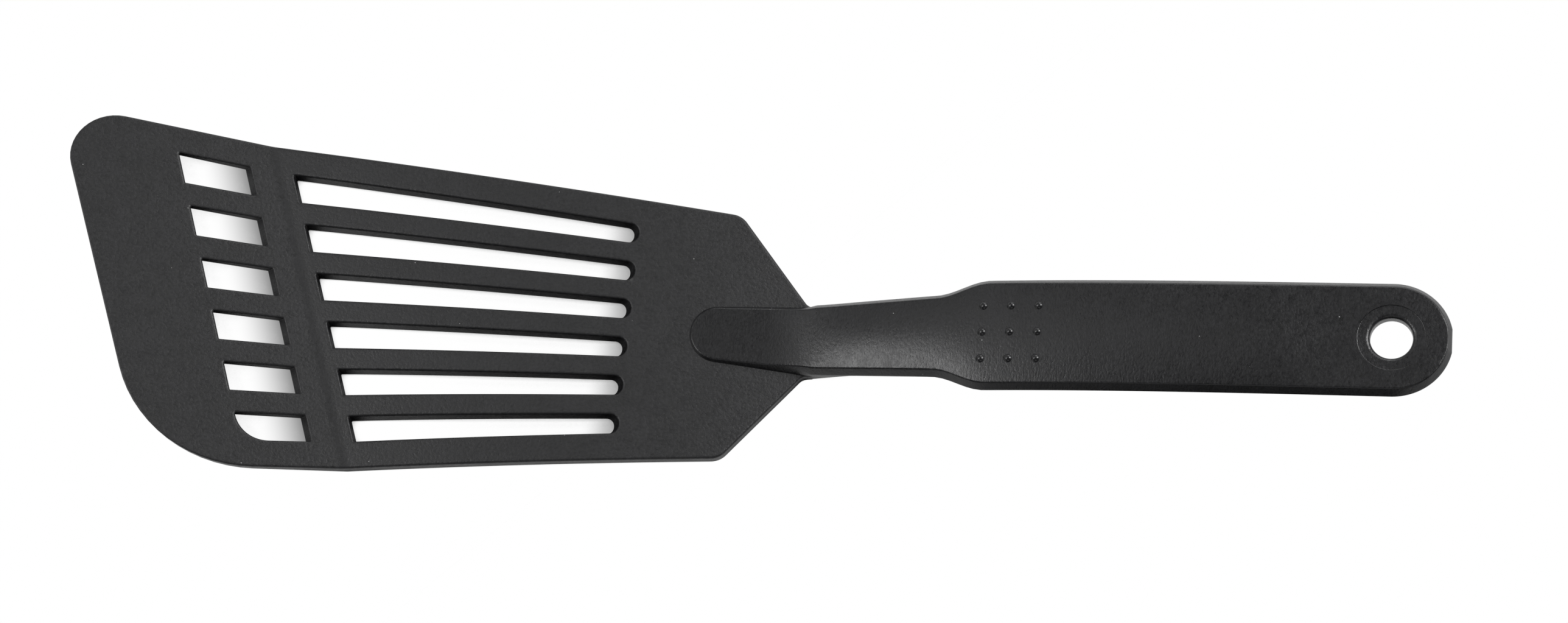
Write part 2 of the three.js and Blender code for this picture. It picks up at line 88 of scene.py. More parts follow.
CORNER_STEPS = 14
TOP_ROUND = 0.55
UNDER_ROUND = 0.3
ROUND_STEPS = 4
RIM_BAND = 0.4
CLOSE = 1e-4
FIRST_CROSS_CUT_X = -112.0
CROSS_CUT_PITCH = 6.5
CROSS_CUTS = 18
BEND_CUT_PITCH = BEND_SOFTNESS / 3
BEND_CUTS_PER_SIDE = 4
SHARP_ANGLE = math.radians(38)
NYLON_BLACK = (0.0045, 0.0045, 0.005)
NYLON_PALER = 2.4
NYLON_RUBBED = (0.06, 0.06, 0.06, 1)
NYLON_IOR = 1.5
LINT_GREY = (0.5, 0.5, 0.5, 1)
LINT_SCALE = 200
LINT_SPAN = (0.016, 0.024)
GRAIN_SCALE = 2000
GRAIN_DEPTH = 0.0002
GRAIN_GLOSS = 0.04
PATCH_SCALE = 160
CLOUD_SCALE = 450
CLOUD_GLOSS = 0.03
RUB_SCALE = 420
RUB_EDGES = (0.53, 0.62)
RUB_STRENGTH = 0.5
NOISE_ROUGHNESS = 0.6
FINE_DETAIL = 3
SOFT_DETAIL = 2
PATCH_LEVELS = (0.5, 1.5)
WIDE_SPAN = (0.3, 0.7)
MIDDLE_SPAN = (0.35, 0.65)
NARROW_SPAN = (0.4, 0.6)


def bend_x(y):
    return -BEND_TO_HEEL - y * BEND_SLANT


def front_x(y):
    return -BEND_TO_HEEL - LIP_LENGTH - y * FRONT_SLANT


def slot_width(x):
    return SLOT_WIDTH - SLOT_TAPER * (x - WIDTHS_AT_X)


def rib_width(x):
    return RIB_WIDTH - RIB_TAPER * (x - WIDTHS_AT_X)


def slot_inner(n, x):
    return (n + 0.5) * rib_width(x) + n * slot_width(x)


def slot_outer(n, x):
    return slot_inner(n, x) + slot_width(x)


def blade_half(x):
    return slot_outer(SLOTS_PER_SIDE - 1, x) + RIM_WIDTH


def crossing(start, along, other, other_along):
    a = Vector((*start, 0))
    b = Vector((*other, 0))
    return intersect_line_line(a, a + Vector((*along, 0)), b, b + Vector((*other_along, 0)))[0].xy


def blade_corners():
    half_slope = blade_half(1) - blade_half(0)
    far_side = ((0, blade_half(0)), (1, half_slope))
    near_side = ((0, -blade_half(0)), (1, -half_slope))
    front = ((front_x(0), 0), (-FRONT_SLANT, 1))
    shoulder_along = (-math.cos(SHOULDER_ANGLE), math.sin(SHOULDER_ANGLE))
    shoulder = crossing(*far_side, (ROOT_X, NECK_ROOT_HALF), shoulder_along)
    return [
        (*crossing(*near_side, *front), NEAR_FRONT_CORNER),
        (shoulder.x, -shoulder.y, SHOULDER_CORNER),
        (ROOT_X, -NECK_ROOT_HALF, ROOT_CORNER),
        (HEEL_END, -NECK_ROOT_HALF, 0),
        (HEEL_END, NECK_ROOT_HALF, 0),
        (ROOT_X, NECK_ROOT_HALF, ROOT_CORNER),
        (shoulder.x, shoulder.y, SHOULDER_CORNER),
        (*crossing(*far_side, *front), FAR_FRONT_CORNER),
    ]


def slot_corners(n, side, start_gap, end_gap, side_draft, start_draft, end_draft):
    def corner(edge, inward, gap):
        start = (0, side * (edge(n, 0) + inward))
        along = (1, side * (edge(n, 1) - edge(n, 0)))
        return crossing(start, along, (bend_x(0) + gap, 0), (-BEND_SLANT, 1))

    cut_short = side < 0 and n == SLOTS_PER_SIDE - 1 and end_gap is not None
    outer_corner = CUT_SLOT_CORNER if cut_short else SLOT_CORNER
    corners = [
        (*corner(slot_inner, side_draft, start_gap + start_draft), SLOT_CORNER),
        (*corner(slot_outer, -side_draft, start_gap + start_draft), outer_corner),
    ]
    if end_gap is None:
        end = LONG_SLOT_END_X - end_draft
        round_end = ROUND_END_SHARE * (slot_width(end) / 2 - side_draft)
        corners.append((end, side * (slot_outer(n, end) - side_draft), round_end))
        corners.append((end, side * (slot_inner(n, end) + side_draft), round_end))
    else:
        corners.append((*corner(slot_outer, -side_draft, end_gap - end_draft), SLOT_CORNER))
        corners.append((*corner(slot_inner, side_draft, end_gap - end_draft), SLOT_CORNER))
    return corners


def rounded_loop(bm, corners, height):
    known = set(bm.edges)
    ends = []
    for i, (x, y, radius) in enumerate(corners):
        here = Vector((x, y, height))
        back = (Vector((*corners[i - 1][:2], height)) - here).normalized()
        ahead = (Vector((*corners[(i + 1) % len(corners)][:2], height)) - here).normalized()
        half = back.angle(ahead) / 2
        first = last = bm.verts.new(here + back * (radius / math.tan(half)))
        if radius:
            centre = here + (back + ahead).normalized() * (radius / math.sin(half))
            turn = math.copysign(math.pi - 2 * half, ahead.cross(back).z)
            steps = SMALL_CORNER_STEPS if radius < SMALL_CORNER else CORNER_STEPS
            arc = bmesh.ops.spin(bm, geom=[first], cent=centre, axis=(0, 0, 1), angle=turn, steps=steps)
            last = next(part for part in arc["geom_last"] if isinstance(part, bmesh.types.BMVert))
        ends.append((first, last))
    for i, (first, _) in enumerate(ends):
        bm.edges.new((ends[i - 1][1], first))
    return [edge for edge in bm.edges if edge not in known]


def filled(bm, edges):
    made = bmesh.ops.triangle_fill(bm, edges=edges, use_beauty=True, use_dissolve=False)
    return [part for part in made["geom"] if isinstance(part, bmesh.types.BMFace)]


def round_rim(bm, faces, radius):
    def inset(thickness, depth):
        bmesh.ops.inset_region(bm, faces=faces, use_boundary=True, use_even_offset=True,
                               thickness=thickness, depth=depth)

    for i in range(ROUND_STEPS):
        start = math.pi / 2 * i / ROUND_STEPS
        end = math.pi / 2 * (i + 1) / ROUND_STEPS
        inset(radius * (math.cos(start) - math.cos(end)), radius * (math.sin(end) - math.sin(start)))
    inset(RIM_BAND, 0)


def bisect(bm, point, normal):
    bmesh.ops.bisect_plane(bm, geom=bm.verts[:] + bm.edges[:] + bm.faces[:], dist=CLOSE,
                           plane_co=point, plane_no=normal)


def arch(x, y):
    share = (x - bend_x(y)) / -bend_x(y)
    return 4 * ARCH_RISE * share * (1 - max(share, 0)) if share < 1 else 0.0


def blade_top(x, y):
    ahead = bend_x(y) - x
    if ahead > BEND_SOFTNESS:
        bent = ahead
    else:
        bent = max(ahead + BEND_SOFTNESS, 0) ** 2 / (4 * BEND_SOFTNESS)
    return BLADE_THICKNESS + arch(x, y) + (LIP_RISE + 4 * ARCH_RISE / -bend_x(y)) * bent


def blade_under(x, y):
    ahead = bend_x(y) - x
    if ahead > 0:
        return ahead * (LIP_RISE + (BLADE_THICKNESS - LIP_EDGE_THICKNESS) / LIP_LENGTH)
    return arch(x, y) + HEEL_LIFT_SLOPE * max(x - HEEL_LIFT_X, 0)


def bend_plate(bm):
    for vert in bm.verts:
        x, y, depth = vert.co
        vert.co.z = blade_top(x, y) + depth / BLADE_THICKNESS * (blade_top(x, y) - blade_under(x, y))


def set_sockets(node, **values):
    for name, value in values.items():
        node.inputs[name.replace("_", " ")].default_value = value
    return node


def link(source, socket):
    source.id_data.links.new(source, socket)


def link_or_set(value, socket):
    if isinstance(value, bpy.types.NodeSocket):
        link(value, socket)
    else:
        socket.default_value = value


def spread(source, span, low, high, curve="LINEAR"):
    node = source.id_data.nodes.new("ShaderNodeMapRange")
    node.interpolation_type = curve
    for socket, value in zip(node.inputs[1:5], (*span, low, high)):
        socket.default_value = value
    link(source, node.inputs["Value"])
    return node.outputs["Result"]


def combined(operation, first, second):
    node = first.id_data.nodes.new("ShaderNodeMath")
    node.operation = operation
    link(first, node.inputs[0])
    link_or_set(second, node.inputs[1])
    return node.outputs["Value"]


def mixed(factor, first, second):
    node = factor.id_data.nodes.new("ShaderNodeMix")
    node.data_type = "RGBA"
    link(factor, node.inputs["Factor"])
    link_or_set(first, node.inputs["A"])
    link_or_set(second, node.inputs["B"])
    return node.outputs["Result"]


def grained_nylon(name, roughness, grain, stretch):
    material = bpy.data.materials.new(name)
    material.use_nodes = True
    nodes = material.node_tree.nodes
    shader = set_sockets(nodes["Principled BSDF"], IOR=NYLON_IOR)
    place = nodes.new("ShaderNodeTexCoord").outputs["Object"]
    drawn_out = set_sockets(nodes.new("ShaderNodeMapping"), Scale=stretch)
    link(place, drawn_out.inputs["Vector"])

    def noise(scale, detail):
        node = nodes.new("ShaderNodeTexNoise")
        set_sockets(node, Scale=scale, Detail=detail, Roughness=NOISE_ROUGHNESS)
        link(drawn_out.outputs["Vector"], node.inputs["Vector"])
        return node.outputs["Fac"]

    pits = noise(GRAIN_SCALE, FINE_DETAIL)
    broad = spread(noise(PATCH_SCALE, FINE_DETAIL), WIDE_SPAN, *PATCH_LEVELS)
    patches = combined("MULTIPLY", broad, spread(pits, WIDE_SPAN, 0, 1))
    paler = tuple(NYLON_PALER * part for part in NYLON_BLACK)
    tint = mixed(patches, (*NYLON_BLACK, 1), (*paler, 1))
    edges = spread(nodes.new("ShaderNodeNewGeometry").outputs["Pointiness"], RUB_EDGES, 0, RUB_STRENGTH)
    rub = combined("MULTIPLY", edges, spread(noise(RUB_SCALE, SOFT_DETAIL), NARROW_SPAN, 0, 1))
    cells = set_sockets(nodes.new("ShaderNodeTexVoronoi"), Scale=LINT_SCALE, Randomness=1)
    link(place, cells.inputs["Vector"])
    lint = spread(cells.outputs["Distance"], LINT_SPAN, 1, 0)
    link(mixed(lint, mixed(rub, tint, NYLON_RUBBED), LINT_GREY), shader.inputs["Base Color"])
    gloss = spread(pits, MIDDLE_SPAN, roughness - GRAIN_GLOSS, roughness + GRAIN_GLOSS)
    cloud = spread(noise(CLOUD_SCALE, SOFT_DETAIL), WIDE_SPAN, -CLOUD_GLOSS, CLOUD_GLOSS)
    link(combined("ADD", gloss, cloud), shader.inputs["Roughness"])
    bump = set_sockets(nodes.new("ShaderNodeBump"), Strength=grain, Distance=GRAIN_DEPTH)
    link(pits, bump.inputs["Height"])
    link(bump.outputs["Normal"], shader.inputs["Normal"])
    return material


def add_object(name, bm, material):
    mesh = bpy.data.meshes.new(name)
    bm.to_mesh(mesh)
    bm.free()
    mesh.materials.append(material)
    item = bpy.data.objects.new(name, mesh)
    bpy.context.scene.collection.objects.link(item)
    return item


def add_piece(name, bm, material, node):
    bmesh.ops.recalc_face_normals(bm, faces=bm.faces)
    piece = add_object(name, bm, material)
    piece.data.shade_smooth()
    piece.data.set_sharp_from_angle(angle=SHARP_ANGLE)
    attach(piece, "root")
    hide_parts(node)
    return piece


plate = bmesh.new()
rims = [(blade_corners(), blade_corners())]
for side in (1, -1):
    for n in range(SLOTS_PER_SIDE):
        for gaps, draft in ((LONG_SLOT_GAPS, LONG_SLOT_DRAFT), (FRONT_SLOT_GAPS, FRONT_SLOT_DRAFT)):
            rims.append((slot_corners(n, side, *gaps, *NO_DRAFT), slot_corners(n, side, *gaps, *draft)))
top_edges, under_edges = [], []
for top_corners, under_corners in rims:
    top_loop = rounded_loop(plate, top_corners, -TOP_ROUND)
    under_loop = rounded_loop(plate, under_corners, UNDER_ROUND - BLADE_THICKNESS)
    bmesh.ops.bridge_loops(plate, edges=top_loop + under_loop)
    top_edges += top_loop
    under_edges += under_loop
top_faces = filled(plate, top_edges)
under_faces = filled(plate, under_edges)
bmesh.ops.recalc_face_normals(plate, faces=plate.faces)
round_rim(plate, top_faces, TOP_ROUND)
round_rim(plate, under_faces, UNDER_ROUND)
for i in range(CROSS_CUTS):
    bisect(plate, (FIRST_CROSS_CUT_X + CROSS_CUT_PITCH * i, 0, 0), (1, 0, 0))
for i in range(-BEND_CUTS_PER_SIDE, BEND_CUTS_PER_SIDE + 1):
    bisect(plate, (bend_x(0) - BEND_CUT_PITCH * i, 0, 0), (1, BEND_SLANT, 0))
bend_plate(plate)
bmesh.ops.transform(plate, matrix=TO_FRAME, verts=plate.verts)
blade_nylon = grained_nylon("blade_nylon", roughness=0.46, grain=0.5, stretch=(0.7, 0.7, 0.7))
blade = add_piece("turner_blade", plate, blade_nylon, "blade")
blade.modifiers.new("flat_faces", "WEIGHTED_NORMAL").keep_sharp = True


# Handle. A second black nylon moulding over the blade's heel: a flat tongue on the blade, a neck that rises
# from it, and a grip with planed edges and a slightly crowned face. The hole at the tail, dished on both
# faces, is for hanging it up, and the small flat at the very end is where the gate of the mould was cut off.
TONGUE_TOP = 4.87
TONGUE_TIP_CENTRE = -18.2
TONGUE_TIP_RADIUS = 7.0
TONGUE_DRAFT = 0.42
TONGUE_EDGE = 0.35
TONGUE_SINK = 0.05
NECK_START = 4.5
NECK_STEP = 0.05
NECK_ROOT_END = 14.0
NECK_SLOPE = math.tan(math.radians(17.8))
NECK_BLEND = 16.0
NECK_RISE_X = 0.1
NECK_END_X = 27.0
NECK_TOP_HALF = 9.88
TAIL_SLOPE = math.tan(math.radians(6.85))
EASING_LENGTH = 38.0
FLARE_START_X = 32.5
FLARE_LENGTH = 13.0
GRIP_HALF = 13.28
TAIL_CENTRE = 136.4
FLAT_START = TAIL_CENTRE - GRIP_HALF
GATE_HALF = 2.75
HANDLE_THICKNESS = 4.0
PLANED_WIDTH = 1.3
PLANED_DROP = 1.9
FOOT_START = 0.22
CROWN = 0.75
CROWN_FADE_X = 108.0
CROWN_FADE_LENGTH = 14.0
CROWN_STEPS = 6
SECTION_ROUND = 0.3
SECTION_ROUND_SHARE = 0.4
TOP_EDGE = 12
TIP_STEPS = 16
TONGUE_STEPS = 14
GRIP_STEPS = 72
TAIL_STEPS = 24
HOLE_X = 135.9
HOLE_SIDES = 64
CUTTER_LIFT = 0.4
DISH_WALL = [(7.8, CUTTER_LIFT), (7.74, 0.1), (7.64, -0.13), (7.5, -0.2)]
HOLE_EDGE = [(5.75, -0.22), (5.35, -0.28), (5.03, -0.45), (4.83, -0.7), (4.75, -1.0)]
SPUN_CLOSE = 1e-5
CUT_CLOSE = 0.003


def part_way(x, start, length):
    return min(max((x - start) / length, 0), 1)


def handle_curve(x):
    blend_start = NECK_RISE_X - NECK_BLEND / 2
    if x < NECK_RISE_X + NECK_BLEND / 2:
        return TONGUE_TOP + NECK_SLOPE * max(x - blend_start, 0) ** 2 / (2 * NECK_BLEND)
    if x < NECK_END_X:
        return TONGUE_TOP + NECK_SLOPE * (x - NECK_RISE_X)
    run = x - NECK_END_X
    eased = EASING_LENGTH * (1 - math.exp(-run / EASING_LENGTH))
    neck_end = TONGUE_TOP + NECK_SLOPE * (NECK_END_X - NECK_RISE_X)
    return neck_end + TAIL_SLOPE * run + (NECK_SLOPE - TAIL_SLOPE) * eased


def handle_slope(x):
    return handle_curve(x + 0.5) - handle_curve(x - 0.5)


def handle_face(x):
    if x < FLAT_START:
        return handle_curve(x)
    return handle_curve(FLAT_START) + handle_slope(FLAT_START) * (x - FLAT_START)


def handle_under(x):
    if x < NECK_ROOT_END:
        root_under = handle_curve(NECK_ROOT_END) - HANDLE_THICKNESS
        return root_under * (x - HEEL_LIFT_X) / (NECK_ROOT_END - HEEL_LIFT_X)
    return handle_face(x) - HANDLE_THICKNESS


def neck_half(x):
    if x < FLARE_START_X:
        growth = NECK_TOP_HALF - NECK_ROOT_HALF
        return NECK_ROOT_HALF + growth * (x - HEEL_END) / (FLARE_START_X - HEEL_END)
    turn = math.pi * part_way(x, FLARE_START_X, FLARE_LENGTH)
    return NECK_TOP_HALF + (GRIP_HALF - NECK_TOP_HALF) * (1 - math.cos(turn)) / 2


def crown(x, share):
    lift = CROWN * part_way(x, NECK_RISE_X, NECK_BLEND)
    flatter = 1 - part_way(x, CROWN_FADE_X, CROWN_FADE_LENGTH)
    return lift * flatter * (1 - share * share)


def handle_stations():
    quarter = math.pi / 2
    for i in range(1, TIP_STEPS + 1):
        turn = quarter * i / TIP_STEPS
        out = (-math.cos(turn), math.sin(turn))
        yield TONGUE_TIP_CENTRE + TONGUE_TIP_RADIUS * out[0], TONGUE_TIP_RADIUS * out[1], out, True
    for i in range(1, TONGUE_STEPS + 1):
        x = TONGUE_TIP_CENTRE + (NECK_START - TONGUE_TIP_CENTRE) * i / TONGUE_STEPS
        half = TONGUE_TIP_RADIUS + (NECK_ROOT_HALF - TONGUE_TIP_RADIUS) * i / TONGUE_STEPS
        yield x, half, (0, 1), True
    for i in range(GRIP_STEPS):
        x = NECK_START + NECK_STEP + (TAIL_CENTRE - NECK_START - NECK_STEP) * i / GRIP_STEPS
        yield x, neck_half(x), (0, 1), False
    gate = math.asin(GATE_HALF / GRIP_HALF)
    for i in range(TAIL_STEPS + 1):
        turn = quarter + (gate - quarter) * i / TAIL_STEPS
        out = (math.cos(turn), math.sin(turn))
        yield TAIL_CENTRE + GRIP_HALF * out[0], GRIP_HALF * out[1], out, False


def softened(line):
    points = [line[0]]
    for before, corner, after in zip(line, line[1:], line[2:]):
        back = (before - corner) * min(SECTION_ROUND / (before - corner).length, SECTION_ROUND_SHARE)
        ahead = (after - corner) * min(SECTION_ROUND / (after - corner).length, SECTION_ROUND_SHARE)
        points += [corner + back, corner + (back + ahead) / 4, corner + ahead]
    return points + [line[-1]]


def handle_section(x, half, out, on_blade):
    def at(inset, z):
        return Vector((x - out[0] * inset, half - out[1] * inset, z))

    face = handle_face(x)
    if on_blade:
        seat = blade_top(x, half) - TONGUE_SINK
        tall = face - seat
        inset = TONGUE_EDGE + TONGUE_DRAFT * tall
        sloped = [at(inset * k / 3, seat + tall * k / 3) for k in range(4)]
        upright = [
            at(0, seat),
            at(0, seat + (tall - PLANED_DROP) / 2),
            at(0, face - PLANED_DROP),
            at(PLANED_WIDTH, face),
        ]
        turned = part_way(x, NECK_RISE_X, NECK_START - NECK_RISE_X)
        edge = [a.lerp(b, turned) for a, b in zip(sloped, upright)]
    else:
        under = handle_under(x)
        grown = part_way(x, NECK_START, NECK_ROOT_END - NECK_START)
        foot = FOOT_START + (1 - FOOT_START) * grown
        level = [
            at(PLANED_WIDTH * foot, under),
            at(0, under + PLANED_DROP * foot),
            at(0, face - PLANED_DROP),
            at(PLANED_WIDTH, face),
        ]
        edge = [Vector((p.x, p.y, p.z + handle_face(p.x) - face)) for p in level]
    middle_under = Vector((edge[0].x, 0, edge[0].z))
    middle_top = Vector((edge[3].x, 0, edge[3].z))
    line = softened([middle_under, *edge, middle_top])
    top_edge = line[TOP_EDGE]
    flat = [top_edge.lerp(middle_top, k / CROWN_STEPS) for k in range(1, CROWN_STEPS + 1)]
    crowned = [p + Vector((0, 0, crown(x, p.y / top_edge.y))) for p in flat]
    return line[:TOP_EDGE + 1] + crowned


def tube(sections):
    ends = (sections[0], sections[-1])
    for end in ends:
        end[TOP_EDGE + 1:] = [end[-1]] * CROWN_STEPS
    first, last = ([Vector((p.x, 0, p.z)) for p in end] for end in ends)
    halves = [first, *sections, last]
    rings = [half[::-1] + [Vector((p.x, -p.y, p.z)) for p in half[1:]] for half in halves]
    rows = len(rings) - 1
    columns = len(rings[0]) - 1
    bm = bmesh.new()
    bmesh.ops.create_grid(bm, x_segments=rows, y_segments=columns, size=1)
    for vert in bm.verts:
        vert.co = rings[round((vert.co.x + 1) / 2 * rows)][round((vert.co.y + 1) / 2 * columns)]
    bmesh.ops.remove_doubles(bm, verts=bm.verts, dist=CLOSE)
    return bm


def spun(profile, sides):
    bm = bmesh.new()
    verts = [bm.verts.new((radius, 0, height)) for radius, height in profile]
    edges = [bm.edges.new(pair) for pair in zip(verts, verts[1:])]
    bmesh.ops.spin(bm, geom=verts + edges, cent=(0, 0, 0), axis=(0, 0, 1), angle=2 * math.pi, steps=sides,
                   use_merge=True)
    bmesh.ops.remove_doubles(bm, verts=bm.verts, dist=SPUN_CLOSE)
    bmesh.ops.recalc_face_normals(bm, faces=bm.faces)
    return bm


def square_to_face(x, y):
    tilt = Matrix.Rotation(-math.atan(handle_slope(min(x, FLAT_START))), 4, "Y")
    share = y / (neck_half(x) - PLANED_WIDTH)
    return TO_FRAME @ Matrix.Translation((x, y, handle_face(x) + crown(x, share))) @ tilt


def hole_profile():
    upper = [(0, CUTTER_LIFT), *DISH_WALL, *HOLE_EDGE]
    return upper + [(radius, -HANDLE_THICKNESS - height) for radius, height in reversed(upper)]


def cut_away(piece, cutter_bm):
    cutter = add_object("hole_cutter", cutter_bm, piece.data.materials[0])
    boolean = piece.modifiers.new("hole", "BOOLEAN")
    boolean.object = cutter
    boolean.operation = "DIFFERENCE"
    boolean.solver = "EXACT"
    cut = bpy.data.meshes.new_from_object(piece.evaluated_get(bpy.context.evaluated_depsgraph_get()))
    joined = bmesh.new()
    joined.from_mesh(cut)
    bmesh.ops.remove_doubles(joined, verts=joined.verts, dist=CUT_CLOSE * MM)
    joined.to_mesh(cut)
    joined.free()
    cut.set_sharp_from_angle(angle=SHARP_ANGLE)
    piece.modifiers.remove(boolean)
    spare = (piece.data, cutter.data)
    piece.data = cut
    bpy.data.objects.remove(cutter)
    for mesh in spare:
        bpy.data.meshes.remove(mesh)


handle_nylon = grained_nylon("handle_nylon", roughness=0.32, grain=0.3, stretch=(1.1, 0.6, 0.8))
grip = tube([handle_section(*station) for station in handle_stations()])
bmesh.ops.transform(grip, matrix=TO_FRAME, verts=grip.verts)
handle = add_piece("turner_handle", grip, handle_nylon, "handle")
hole = spun(hole_profile(), HOLE_SIDES)
bmesh.ops.transform(hole, matrix=square_to_face(HOLE_X, 0), verts=hole.verts)
cut_away(handle, hole)
handle.modifiers.new("flat_faces", "WEIGHTED_NORMAL").keep_sharp = True


# Thumb studs. Nine glossy nylon domes in three rows, just behind the flare, where the thumb presses. Each is
# a small smooth stud whose stem sinks into the grip.
STUD_ROWS = 3
STUD_COLUMNS = 3
STUD_PITCH = 6.35
FIRST_STUD_X = 44.1
STUD_RADIUS = 1.02
STUD_RIM_SLOPE = math.radians(55)
STUD_BALL = STUD_RADIUS / math.sin(STUD_RIM_SLOPE)
STUD_STEM = 1.0
STUD_STEPS = 8
STUD_SIDES = 24


def stud_profile():
    slopes = [STUD_RIM_SLOPE * (1 - k / STUD_STEPS) for k in range(STUD_STEPS + 1)]
    sunk = math.cos(STUD_RIM_SLOPE)
    dome = [(STUD_BALL * math.sin(slope), STUD_BALL * (math.cos(slope) - sunk)) for slope in slopes]
    return [(0, -STUD_STEM), (STUD_RADIUS, -STUD_STEM), *dome]


stud_gloss = grained_nylon("stud_gloss", roughness=0.27, grain=0.05, stretch=(1, 1, 1))
for row in range(STUD_ROWS):
    for column in range(STUD_COLUMNS):
        stud = spun(stud_profile(), STUD_SIDES)
        seat = square_to_face(FIRST_STUD_X + STUD_PITCH * column, STUD_PITCH * (1 - row))
        bmesh.ops.transform(stud, matrix=seat, verts=stud.verts)
        name = f"row{row + 1}_col{column + 1}"
        add_piece(f"thumb_stud_{name}", stud, stud_gloss, f"thumb_dot_{name}")


# Table. A plain white sheet that runs up behind and at both sides. To the camera it glows white, with
# painted shade where the turner all but touches it, under the lip by the bend and at the slots' heel end.
# The nylon mirrors it as a painted reflection, dimmer where it stands up, with painted shade close to the
# turner and a painted shadow in front of the grip.
SHEET_HALF = 5.0
SHEET_RISE = 3.0
SHEET_WHITE = (0.85, 0.85, 0.85, 1)
SHEET_ROUGHNESS = 0.9
# The spans and levels below shape the painted shade and the painted reflection in the sheet's glow.
SHADE_REACH = 0.012
OPEN_SKY = (0.6, 0.9)
MIRRORED_SKY = (0.45, 0.75)
TOUCHING_SKY = (0.1, 0.42)
PAINTED_CONTACT_SHADE_LEVEL = 0.15
BEHIND_BEND = (-0.004, 0.0)
AHEAD_OF_BEND = (0.003, 0.02)
PAINTED_LIP_SHADE_LEVEL = 0.06
BLADE_SIDE_Y = (0.036, 0.039)
SLOT_SIDE_Y = (0.0285, 0.03)
SLOT_END_X = (-0.035, -0.026)
PAST_SLOT_END_X = (-0.023, -0.021)
PAINTED_SLOT_END_SHADE_LEVEL = 0.42
GRIP_MIDDLE_X = 0.115
GRIP_ENDS = (0.055, 0.095)
GRIP_FRONT_Y = (-0.032, -0.014)
STANDING_Z = (0.0, 0.5)
PAINTED_STANDING_DIMMING = 0.5


def faded(source, span, low, high):
    return spread(source, span, low, high, "SMOOTHSTEP")


table_white = bpy.data.materials.new("table_white")
table_white.use_nodes = True
nodes = table_white.node_tree.nodes
sky = set_sockets(nodes.new("ShaderNodeAmbientOcclusion"), Distance=SHADE_REACH).outputs["AO"]
split = nodes.new("ShaderNodeSeparateXYZ")
link(nodes.new("ShaderNodeTexCoord").outputs["Object"], split.inputs["Vector"])
table_x, table_y, table_z = split.outputs
off_middle = combined("ABSOLUTE", table_y, 0.0)
bend_line = (TO_FRAME @ Vector((bend_x(0), 0, 0))).x + BEND_SLANT * HEEL.y
past_bend = combined("ADD", table_x, combined("MULTIPLY", table_y, BEND_SLANT))
ahead = combined("ADD", combined("MULTIPLY", past_bend, -1.0), bend_line)
# Painted shade under the lip, darkest at the bend, set by place on the sheet and not by a lamp.
behind_bend = faded(ahead, BEHIND_BEND, 1, 0)
painted_lip_shade = combined("MAXIMUM", behind_bend, faded(ahead, AHEAD_OF_BEND, PAINTED_LIP_SHADE_LEVEL, 1))
# Painted shade at the heel end of the slots, set by place on the sheet.
past_slots = faded(table_x, PAST_SLOT_END_X, 0, 1)
painted_slot_end_shade = combined("MAXIMUM", faded(table_x, SLOT_END_X, 1, PAINTED_SLOT_END_SHADE_LEVEL), past_slots)
by_heel = combined("MAXIMUM", painted_slot_end_shade, faded(off_middle, SLOT_SIDE_Y, 0, 1))
open_air = combined("MAXIMUM", faded(off_middle, BLADE_SIDE_Y, 0, 1), faded(sky, OPEN_SKY, 0, 1))
covered = combined("MAXIMUM", combined("MINIMUM", painted_lip_shade, by_heel), open_air)
# Painted contact shade where the turner all but touches the sheet, from the occlusion there.
shade = combined("MINIMUM", covered, faded(sky, TOUCHING_SKY, PAINTED_CONTACT_SHADE_LEVEL, 1))
# Painted shadow in the mirrored sheet: a dark strip in front of the grip.
off_grip = combined("ABSOLUTE", combined("SUBTRACT", table_x, GRIP_MIDDLE_X), 0.0)
outside_painted_grip_shadow = combined("MAXIMUM", faded(table_y, GRIP_FRONT_Y, 0, 1), faded(off_grip, GRIP_ENDS, 0, 1))
# Painted dimming of the mirrored sheet where it stands up.
painted_reflection_level = combined("MULTIPLY", outside_painted_grip_shadow, faded(table_z, STANDING_Z, 1, PAINTED_STANDING_DIMMING))
# Painted reflection: the glow that the nylon mirrors, darkened close to the turner by the occlusion there.
painted_reflection = combined("MULTIPLY", faded(sky, MIRRORED_SKY, 0, 1), painted_reflection_level)
seen = nodes.new("ShaderNodeLightPath").outputs
mirrored = combined("MAXIMUM", seen["Is Glossy Ray"], seen["Is Transmission Ray"])
# The camera sees the glowing sheet with this painted shade.
straight_on = combined("MULTIPLY", seen["Is Camera Ray"], shade)
glow = nodes.new("ShaderNodeEmission")
link(combined("ADD", straight_on, combined("MULTIPLY", mirrored, painted_reflection)), glow.inputs["Strength"])
surface = nodes.new("ShaderNodeMixShader")
link(combined("MAXIMUM", seen["Is Camera Ray"], mirrored), surface.inputs["Fac"])
sheet = set_sockets(nodes["Principled BSDF"], Base_Color=SHEET_WHITE, Roughness=SHEET_ROUGHNESS)
link(sheet.outputs["BSDF"], surface.inputs[1])
link(glow.outputs["Emission"], surface.inputs[2])
link(surface.outputs["Shader"], nodes["Material Output"].inputs["Surface"])

slab = bmesh.new()
bmesh.ops.create_grid(slab, x_segments=1, y_segments=1, size=SHEET_HALF)
near_edge = min(slab.edges, key=lambda edge: sum(vert.co.y for vert in edge.verts))
other_edges = [edge for edge in slab.edges if edge != near_edge]
raised = bmesh.ops.extrude_edge_only(slab, edges=other_edges)["geom"]
raised_verts = [part for part in raised if isinstance(part, bmesh.types.BMVert)]
bmesh.ops.translate(slab, vec=(0, 0, SHEET_RISE), verts=raised_verts)
table = add_object("table", slab, table_white)


# Lamps. Soft boxes on the left, on the right and behind the turner, a weak tall one between left and back, a
# weak wide one in front, and a dim room that is white only where the camera looks straight at it.
ROOM_GREY = (0.04, 0.04, 0.04, 1)
ROOM_WHITE = (1, 1, 1, 1)


